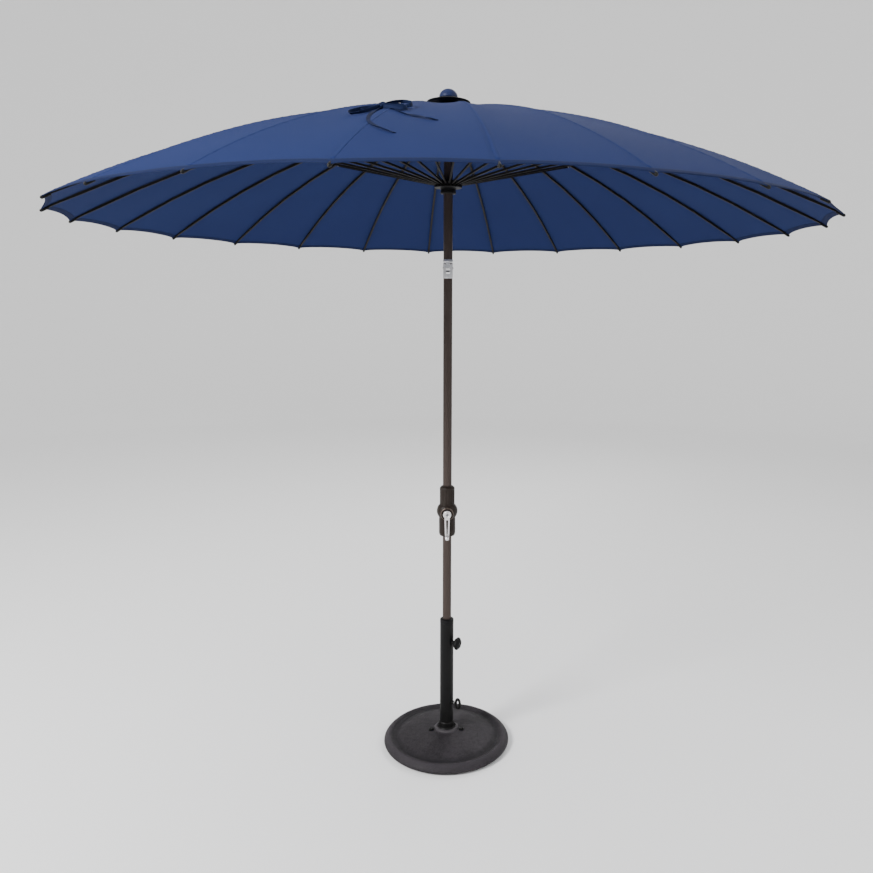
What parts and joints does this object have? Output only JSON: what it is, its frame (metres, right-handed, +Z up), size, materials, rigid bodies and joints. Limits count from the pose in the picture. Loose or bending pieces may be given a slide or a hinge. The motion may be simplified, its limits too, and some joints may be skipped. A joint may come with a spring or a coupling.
{
  "type": "patio umbrella with base",
  "caption": "Round market umbrella on a two-part pole with a push-button tilt and a crank, in a tube on a low round weighted base; folds by its sliding runner.",
  "frame": {"origin": "centre of the base's underside, on the pole's axis", "axes": "+Z up along the pole, -Y towards the front where the crank is, +X to the side of the thumb screws, which point 30 degrees from +X towards -Y"},
  "size_m": [2.9848, 2.9848, 2.83],
  "materials": {
    "fabric": "woven navy blue polyester",
    "finial_plastic": "navy moulded plastic, satin",
    "rib_rod": "dark pultruded fibreglass rod",
    "hub_plastic": "black moulded nylon",
    "pole_bronze": "bronze powder coat, satin",
    "tilt_casting": "bare die casting, satin",
    "crank_plastic": "dark bronze moulded plastic",
    "crank_metal": "polished die casting",
    "tube_black": "black powder coat",
    "base_coat": "charcoal cast resin stone with a hammered skin"
  },
  "bodies": {
    "root": {"base_weight": "base_coat", "base_tube": "tube_black"},
    "pole": {"lower_pole": "pole_bronze", "crank_housing": "crank_plastic"},
    "crank": {"crank_handle": "crank_metal"},
    "tilt_button": {"tilt_button": "tilt_casting"},
    "top": {"upper_pole": "pole_bronze", "finial": "finial_plastic", "canopy": "fabric"},
    "runner": {"runner": "hub_plastic"},
    "screw_upper": {"thumb_screw_upper": "hub_plastic"},
    "screw_lower": {"thumb_screw_lower": "tube_black"},
    "rib_01": {"rib_01": "rib_rod"},
    "strut_01": {"strut_01": "rib_rod"},
    "rib_02": {"rib_02": "rib_rod"},
    "strut_02": {"strut_02": "rib_rod"},
    "rib_03": {"rib_03": "rib_rod"},
    "strut_03": {"strut_03": "rib_rod"},
    "rib_04": {"rib_04": "rib_rod"},
    "strut_04": {"strut_04": "rib_rod"},
    "rib_05": {"rib_05": "rib_rod"},
    "strut_05": {"strut_05": "rib_rod"},
    "rib_06": {"rib_06": "rib_rod"},
    "strut_06": {"strut_06": "rib_rod"},
    "rib_07": {"rib_07": "rib_rod"},
    "strut_07": {"strut_07": "rib_rod"},
    "rib_08": {"rib_08": "rib_rod"},
    "strut_08": {"strut_08": "rib_rod"},
    "rib_09": {"rib_09": "rib_rod"},
    "strut_09": {"strut_09": "rib_rod"},
    "rib_10": {"rib_10": "rib_rod"},
    "strut_10": {"strut_10": "rib_rod"},
    "rib_11": {"rib_11": "rib_rod"},
    "strut_11": {"strut_11": "rib_rod"},
    "rib_12": {"rib_12": "rib_rod"},
    "strut_12": {"strut_12": "rib_rod"},
    "rib_13": {"rib_13": "rib_rod"},
    "strut_13": {"strut_13": "rib_rod"},
    "rib_14": {"rib_14": "rib_rod"},
    "strut_14": {"strut_14": "rib_rod"},
    "rib_15": {"rib_15": "rib_rod"},
    "strut_15": {"strut_15": "rib_rod"},
    "rib_16": {"rib_16": "rib_rod"},
    "strut_16": {"strut_16": "rib_rod"},
    "rib_17": {"rib_17": "rib_rod"},
    "strut_17": {"strut_17": "rib_rod"},
    "rib_18": {"rib_18": "rib_rod"},
    "strut_18": {"strut_18": "rib_rod"},
    "rib_19": {"rib_19": "rib_rod"},
    "strut_19": {"strut_19": "rib_rod"},
    "rib_20": {"rib_20": "rib_rod"},
    "strut_20": {"strut_20": "rib_rod"},
    "rib_21": {"rib_21": "rib_rod"},
    "strut_21": {"strut_21": "rib_rod"},
    "rib_22": {"rib_22": "rib_rod"},
    "strut_22": {"strut_22": "rib_rod"},
    "rib_23": {"rib_23": "rib_rod"},
    "strut_23": {"strut_23": "rib_rod"},
    "rib_24": {"rib_24": "rib_rod"},
    "strut_24": {"strut_24": "rib_rod"}
  },
  "joints": [
    {"name": "pole_lift", "type": "slide", "parent": "root", "child": "pole", "axis": [0, 0, 1], "range_m": [0, 0.35]},
    {"name": "canopy_tilt", "type": "hinge", "parent": "pole", "child": "top", "pos_m": [0, 0, 2.11], "axis": [1, 0, 0], "range_deg": [0, 30]},
    {"name": "tilt_button_press", "type": "slide", "parent": "pole", "child": "tilt_button", "axis": [1, 0, 0], "range_m": [0, 0.003], "stiffness_N_per_m": 600, "springref_m": -0.003},
    {"name": "runner_slide", "type": "slide", "parent": "top", "child": "runner", "axis": [0, 0, 1], "range_m": [-0.9673, 0], "deforming": ["canopy"]},
    {"name": "crank_turn", "type": "hinge", "parent": "pole", "child": "crank", "pos_m": [0, -0.05, 1.063], "axis": [0, 1, 0], "range_deg": [-2882, 2]},
    {"name": "screw_upper_turn", "type": "hinge", "parent": "root", "child": "screw_upper", "pos_m": [0.03464, -0.02, 0.471], "axis": [0.866, -0.5, 0], "continuous": true},
    {"name": "screw_lower_turn", "type": "hinge", "parent": "root", "child": "screw_lower", "pos_m": [0.03464, -0.02, 0.19], "axis": [0.866, -0.5, 0], "continuous": true},
    {"name": "rib_01_fold", "type": "hinge", "parent": "top", "child": "rib_01", "pos_m": [0.00911, 0.04916, 2.7362], "axis": [-0.9833, 0.1822, 0], "range_deg": [-1, 69]},
    {"name": "strut_01_fold", "type": "hinge", "parent": "rib_01", "child": "strut_01", "pos_m": [0.12173, 0.65681, 2.59334], "axis": [-0.9833, 0.1822, 0], "range_deg": [-138, 2]},
    {"name": "rib_02_fold", "type": "hinge", "parent": "top", "child": "rib_02", "pos_m": [0.02153, 0.04513, 2.7362], "axis": [-0.9026, 0.4305, 0], "range_deg": [-1, 69]},
    {"name": "strut_02_fold", "type": "hinge", "parent": "rib_02", "child": "strut_02", "pos_m": [0.28758, 0.60293, 2.59334], "axis": [-0.9026, 0.4305, 0], "range_deg": [-138, 2]},
    {"name": "rib_03_fold", "type": "hinge", "parent": "top", "child": "rib_03", "pos_m": [0.03247, 0.03802, 2.7362], "axis": [-0.7604, 0.6494, 0], "range_deg": [-1, 69]},
    {"name": "strut_03_fold", "type": "hinge", "parent": "rib_03", "child": "strut_03", "pos_m": [0.43383, 0.50795, 2.59334], "axis": [-0.7604, 0.6494, 0], "range_deg": [-138, 2]},
    {"name": "rib_04_fold", "type": "hinge", "parent": "top", "child": "rib_04", "pos_m": [0.04121, 0.02832, 2.7362], "axis": [-0.5664, 0.8241, 0], "range_deg": [-1, 69]},
    {"name": "strut_04_fold", "type": "hinge", "parent": "rib_04", "child": "strut_04", "pos_m": [0.55052, 0.37836, 2.59334], "axis": [-0.5664, 0.8241, 0], "range_deg": [-138, 2]},
    {"name": "rib_05_fold", "type": "hinge", "parent": "top", "child": "rib_05", "pos_m": [0.04713, 0.01669, 2.7362], "axis": [-0.3338, 0.9426, 0], "range_deg": [-1, 69]},
    {"name": "strut_05_fold", "type": "hinge", "parent": "rib_05", "child": "strut_05", "pos_m": [0.62969, 0.22298, 2.59334], "axis": [-0.3338, 0.9426, 0], "range_deg": [-138, 2]},
    {"name": "rib_06_fold", "type": "hinge", "parent": "top", "child": "rib_06", "pos_m": [0.04985, 0.00392, 2.7362], "axis": [-0.0785, 0.9969, 0], "range_deg": [-1, 69]},
    {"name": "strut_06_fold", "type": "hinge", "parent": "rib_06", "child": "strut_06", "pos_m": [0.66594, 0.05241, 2.59334], "axis": [-0.0785, 0.9969, 0], "range_deg": [-138, 2]},
    {"name": "rib_07_fold", "type": "hinge", "parent": "top", "child": "rib_07", "pos_m": [0.04916, -0.00911, 2.7362], "axis": [0.1822, 0.9833, 0], "range_deg": [-1, 69]},
    {"name": "strut_07_fold", "type": "hinge", "parent": "rib_07", "child": "strut_07", "pos_m": [0.65681, -0.12173, 2.59334], "axis": [0.1822, 0.9833, 0], "range_deg": [-138, 2]},
    {"name": "rib_08_fold", "type": "hinge", "parent": "top", "child": "rib_08", "pos_m": [0.04513, -0.02153, 2.7362], "axis": [0.4305, 0.9026, 0], "range_deg": [-1, 69]},
    {"name": "strut_08_fold", "type": "hinge", "parent": "rib_08", "child": "strut_08", "pos_m": [0.60293, -0.28758, 2.59334], "axis": [0.4305, 0.9026, 0], "range_deg": [-138, 2]},
    {"name": "rib_09_fold", "type": "hinge", "parent": "top", "child": "rib_09", "pos_m": [0.03802, -0.03247, 2.7362], "axis": [0.6494, 0.7604, 0], "range_deg": [-1, 69]},
    {"name": "strut_09_fold", "type": "hinge", "parent": "rib_09", "child": "strut_09", "pos_m": [0.50795, -0.43383, 2.59334], "axis": [0.6494, 0.7604, 0], "range_deg": [-138, 2]},
    {"name": "rib_10_fold", "type": "hinge", "parent": "top", "child": "rib_10", "pos_m": [0.02832, -0.04121, 2.7362], "axis": [0.8241, 0.5664, 0], "range_deg": [-1, 69]},
    {"name": "strut_10_fold", "type": "hinge", "parent": "rib_10", "child": "strut_10", "pos_m": [0.37836, -0.55052, 2.59334], "axis": [0.8241, 0.5664, 0], "range_deg": [-138, 2]},
    {"name": "rib_11_fold", "type": "hinge", "parent": "top", "child": "rib_11", "pos_m": [0.01669, -0.04713, 2.7362], "axis": [0.9426, 0.3338, 0], "range_deg": [-1, 69]},
    {"name": "strut_11_fold", "type": "hinge", "parent": "rib_11", "child": "strut_11", "pos_m": [0.22298, -0.62969, 2.59334], "axis": [0.9426, 0.3338, 0], "range_deg": [-138, 2]},
    {"name": "rib_12_fold", "type": "hinge", "parent": "top", "child": "rib_12", "pos_m": [0.00392, -0.04985, 2.7362], "axis": [0.9969, 0.0785, 0], "range_deg": [-1, 69]},
    {"name": "strut_12_fold", "type": "hinge", "parent": "rib_12", "child": "strut_12", "pos_m": [0.05241, -0.66594, 2.59334], "axis": [0.9969, 0.0785, 0], "range_deg": [-138, 2]},
    {"name": "rib_13_fold", "type": "hinge", "parent": "top", "child": "rib_13", "pos_m": [-0.00911, -0.04916, 2.7362], "axis": [0.9833, -0.1822, 0], "range_deg": [-1, 69]},
    {"name": "strut_13_fold", "type": "hinge", "parent": "rib_13", "child": "strut_13", "pos_m": [-0.12173, -0.65681, 2.59334], "axis": [0.9833, -0.1822, 0], "range_deg": [-138, 2]},
    {"name": "rib_14_fold", "type": "hinge", "parent": "top", "child": "rib_14", "pos_m": [-0.02153, -0.04513, 2.7362], "axis": [0.9026, -0.4305, 0], "range_deg": [-1, 69]},
    {"name": "strut_14_fold", "type": "hinge", "parent": "rib_14", "child": "strut_14", "pos_m": [-0.28758, -0.60293, 2.59334], "axis": [0.9026, -0.4305, 0], "range_deg": [-138, 2]},
    {"name": "rib_15_fold", "type": "hinge", "parent": "top", "child": "rib_15", "pos_m": [-0.03247, -0.03802, 2.7362], "axis": [0.7604, -0.6494, 0], "range_deg": [-1, 69]},
    {"name": "strut_15_fold", "type": "hinge", "parent": "rib_15", "child": "strut_15", "pos_m": [-0.43383, -0.50795, 2.59334], "axis": [0.7604, -0.6494, 0], "range_deg": [-138, 2]},
    {"name": "rib_16_fold", "type": "hinge", "parent": "top", "child": "rib_16", "pos_m": [-0.04121, -0.02832, 2.7362], "axis": [0.5664, -0.8241, 0], "range_deg": [-1, 69]},
    {"name": "strut_16_fold", "type": "hinge", "parent": "rib_16", "child": "strut_16", "pos_m": [-0.55052, -0.37836, 2.59334], "axis": [0.5664, -0.8241, 0], "range_deg": [-138, 2]},
    {"name": "rib_17_fold", "type": "hinge", "parent": "top", "child": "rib_17", "pos_m": [-0.04713, -0.01669, 2.7362], "axis": [0.3338, -0.9426, 0], "range_deg": [-1, 69]},
    {"name": "strut_17_fold", "type": "hinge", "parent": "rib_17", "child": "strut_17", "pos_m": [-0.62969, -0.22298, 2.59334], "axis": [0.3338, -0.9426, 0], "range_deg": [-138, 2]},
    {"name": "rib_18_fold", "type": "hinge", "parent": "top", "child": "rib_18", "pos_m": [-0.04985, -0.00392, 2.7362], "axis": [0.0785, -0.9969, 0], "range_deg": [-1, 69]},
    {"name": "strut_18_fold", "type": "hinge", "parent": "rib_18", "child": "strut_18", "pos_m": [-0.66594, -0.05241, 2.59334], "axis": [0.0785, -0.9969, 0], "range_deg": [-138, 2]},
    {"name": "rib_19_fold", "type": "hinge", "parent": "top", "child": "rib_19", "pos_m": [-0.04916, 0.00911, 2.7362], "axis": [-0.1822, -0.9833, 0], "range_deg": [-1, 69]},
    {"name": "strut_19_fold", "type": "hinge", "parent": "rib_19", "child": "strut_19", "pos_m": [-0.65681, 0.12173, 2.59334], "axis": [-0.1822, -0.9833, 0], "range_deg": [-138, 2]},
    {"name": "rib_20_fold", "type": "hinge", "parent": "top", "child": "rib_20", "pos_m": [-0.04513, 0.02153, 2.7362], "axis": [-0.4305, -0.9026, 0], "range_deg": [-1, 69]},
    {"name": "strut_20_fold", "type": "hinge", "parent": "rib_20", "child": "strut_20", "pos_m": [-0.60293, 0.28758, 2.59334], "axis": [-0.4305, -0.9026, 0], "range_deg": [-138, 2]},
    {"name": "rib_21_fold", "type": "hinge", "parent": "top", "child": "rib_21", "pos_m": [-0.03802, 0.03247, 2.7362], "axis": [-0.6494, -0.7604, 0], "range_deg": [-1, 69]},
    {"name": "strut_21_fold", "type": "hinge", "parent": "rib_21", "child": "strut_21", "pos_m": [-0.50795, 0.43383, 2.59334], "axis": [-0.6494, -0.7604, 0], "range_deg": [-138, 2]},
    {"name": "rib_22_fold", "type": "hinge", "parent": "top", "child": "rib_22", "pos_m": [-0.02832, 0.04121, 2.7362], "axis": [-0.8241, -0.5664, 0], "range_deg": [-1, 69]},
    {"name": "strut_22_fold", "type": "hinge", "parent": "rib_22", "child": "strut_22", "pos_m": [-0.37836, 0.55052, 2.59334], "axis": [-0.8241, -0.5664, 0], "range_deg": [-138, 2]},
    {"name": "rib_23_fold", "type": "hinge", "parent": "top", "child": "rib_23", "pos_m": [-0.01669, 0.04713, 2.7362], "axis": [-0.9426, -0.3338, 0], "range_deg": [-1, 69]},
    {"name": "strut_23_fold", "type": "hinge", "parent": "rib_23", "child": "strut_23", "pos_m": [-0.22298, 0.62969, 2.59334], "axis": [-0.9426, -0.3338, 0], "range_deg": [-138, 2]},
    {"name": "rib_24_fold", "type": "hinge", "parent": "top", "child": "rib_24", "pos_m": [-0.00392, 0.04985, 2.7362], "axis": [-0.9969, -0.0785, 0], "range_deg": [-1, 69]},
    {"name": "strut_24_fold", "type": "hinge", "parent": "rib_24", "child": "strut_24", "pos_m": [-0.05241, 0.66594, 2.59334], "axis": [-0.9969, -0.0785, 0], "range_deg": [-138, 2]}
  ],
  "couplings": [
    {"joint": "crank_turn", "follows": "runner_slide", "rad_per_m": 51.965},
    {"joint": "rib_01_fold", "follows": "runner_slide", "rad_per_m": -1.2269},
    {"joint": "strut_01_fold", "follows": "runner_slide", "rad_per_m": 2.4539},
    {"joint": "rib_02_fold", "follows": "runner_slide", "rad_per_m": -1.2269},
    {"joint": "strut_02_fold", "follows": "runner_slide", "rad_per_m": 2.4539},
    {"joint": "rib_03_fold", "follows": "runner_slide", "rad_per_m": -1.2269},
    {"joint": "strut_03_fold", "follows": "runner_slide", "rad_per_m": 2.4539},
    {"joint": "rib_04_fold", "follows": "runner_slide", "rad_per_m": -1.2269},
    {"joint": "strut_04_fold", "follows": "runner_slide", "rad_per_m": 2.4539},
    {"joint": "rib_05_fold", "follows": "runner_slide", "rad_per_m": -1.2269},
    {"joint": "strut_05_fold", "follows": "runner_slide", "rad_per_m": 2.4539},
    {"joint": "rib_06_fold", "follows": "runner_slide", "rad_per_m": -1.2269},
    {"joint": "strut_06_fold", "follows": "runner_slide", "rad_per_m": 2.4539},
    {"joint": "rib_07_fold", "follows": "runner_slide", "rad_per_m": -1.2269},
    {"joint": "strut_07_fold", "follows": "runner_slide", "rad_per_m": 2.4539},
    {"joint": "rib_08_fold", "follows": "runner_slide", "rad_per_m": -1.2269},
    {"joint": "strut_08_fold", "follows": "runner_slide", "rad_per_m": 2.4539},
    {"joint": "rib_09_fold", "follows": "runner_slide", "rad_per_m": -1.2269},
    {"joint": "strut_09_fold", "follows": "runner_slide", "rad_per_m": 2.4539},
    {"joint": "rib_10_fold", "follows": "runner_slide", "rad_per_m": -1.2269},
    {"joint": "strut_10_fold", "follows": "runner_slide", "rad_per_m": 2.4539},
    {"joint": "rib_11_fold", "follows": "runner_slide", "rad_per_m": -1.2269},
    {"joint": "strut_11_fold", "follows": "runner_slide", "rad_per_m": 2.4539},
    {"joint": "rib_12_fold", "follows": "runner_slide", "rad_per_m": -1.2269},
    {"joint": "strut_12_fold", "follows": "runner_slide", "rad_per_m": 2.4539},
    {"joint": "rib_13_fold", "follows": "runner_slide", "rad_per_m": -1.2269},
    {"joint": "strut_13_fold", "follows": "runner_slide", "rad_per_m": 2.4539},
    {"joint": "rib_14_fold", "follows": "runner_slide", "rad_per_m": -1.2269},
    {"joint": "strut_14_fold", "follows": "runner_slide", "rad_per_m": 2.4539},
    {"joint": "rib_15_fold", "follows": "runner_slide", "rad_per_m": -1.2269},
    {"joint": "strut_15_fold", "follows": "runner_slide", "rad_per_m": 2.4539},
    {"joint": "rib_16_fold", "follows": "runner_slide", "rad_per_m": -1.2269},
    {"joint": "strut_16_fold", "follows": "runner_slide", "rad_per_m": 2.4539},
    {"joint": "rib_17_fold", "follows": "runner_slide", "rad_per_m": -1.2269},
    {"joint": "strut_17_fold", "follows": "runner_slide", "rad_per_m": 2.4539},
    {"joint": "rib_18_fold", "follows": "runner_slide", "rad_per_m": -1.2269},
    {"joint": "strut_18_fold", "follows": "runner_slide", "rad_per_m": 2.4539},
    {"joint": "rib_19_fold", "follows": "runner_slide", "rad_per_m": -1.2269},
    {"joint": "strut_19_fold", "follows": "runner_slide", "rad_per_m": 2.4539},
    {"joint": "rib_20_fold", "follows": "runner_slide", "rad_per_m": -1.2269},
    {"joint": "strut_20_fold", "follows": "runner_slide", "rad_per_m": 2.4539},
    {"joint": "rib_21_fold", "follows": "runner_slide", "rad_per_m": -1.2269},
    {"joint": "strut_21_fold", "follows": "runner_slide", "rad_per_m": 2.4539},
    {"joint": "rib_22_fold", "follows": "runner_slide", "rad_per_m": -1.2269},
    {"joint": "strut_22_fold", "follows": "runner_slide", "rad_per_m": 2.4539},
    {"joint": "rib_23_fold", "follows": "runner_slide", "rad_per_m": -1.2269},
    {"joint": "strut_23_fold", "follows": "runner_slide", "rad_per_m": 2.4539},
    {"joint": "rib_24_fold", "follows": "runner_slide", "rad_per_m": -1.2269},
    {"joint": "strut_24_fold", "follows": "runner_slide", "rad_per_m": 2.4539}
  ]
}
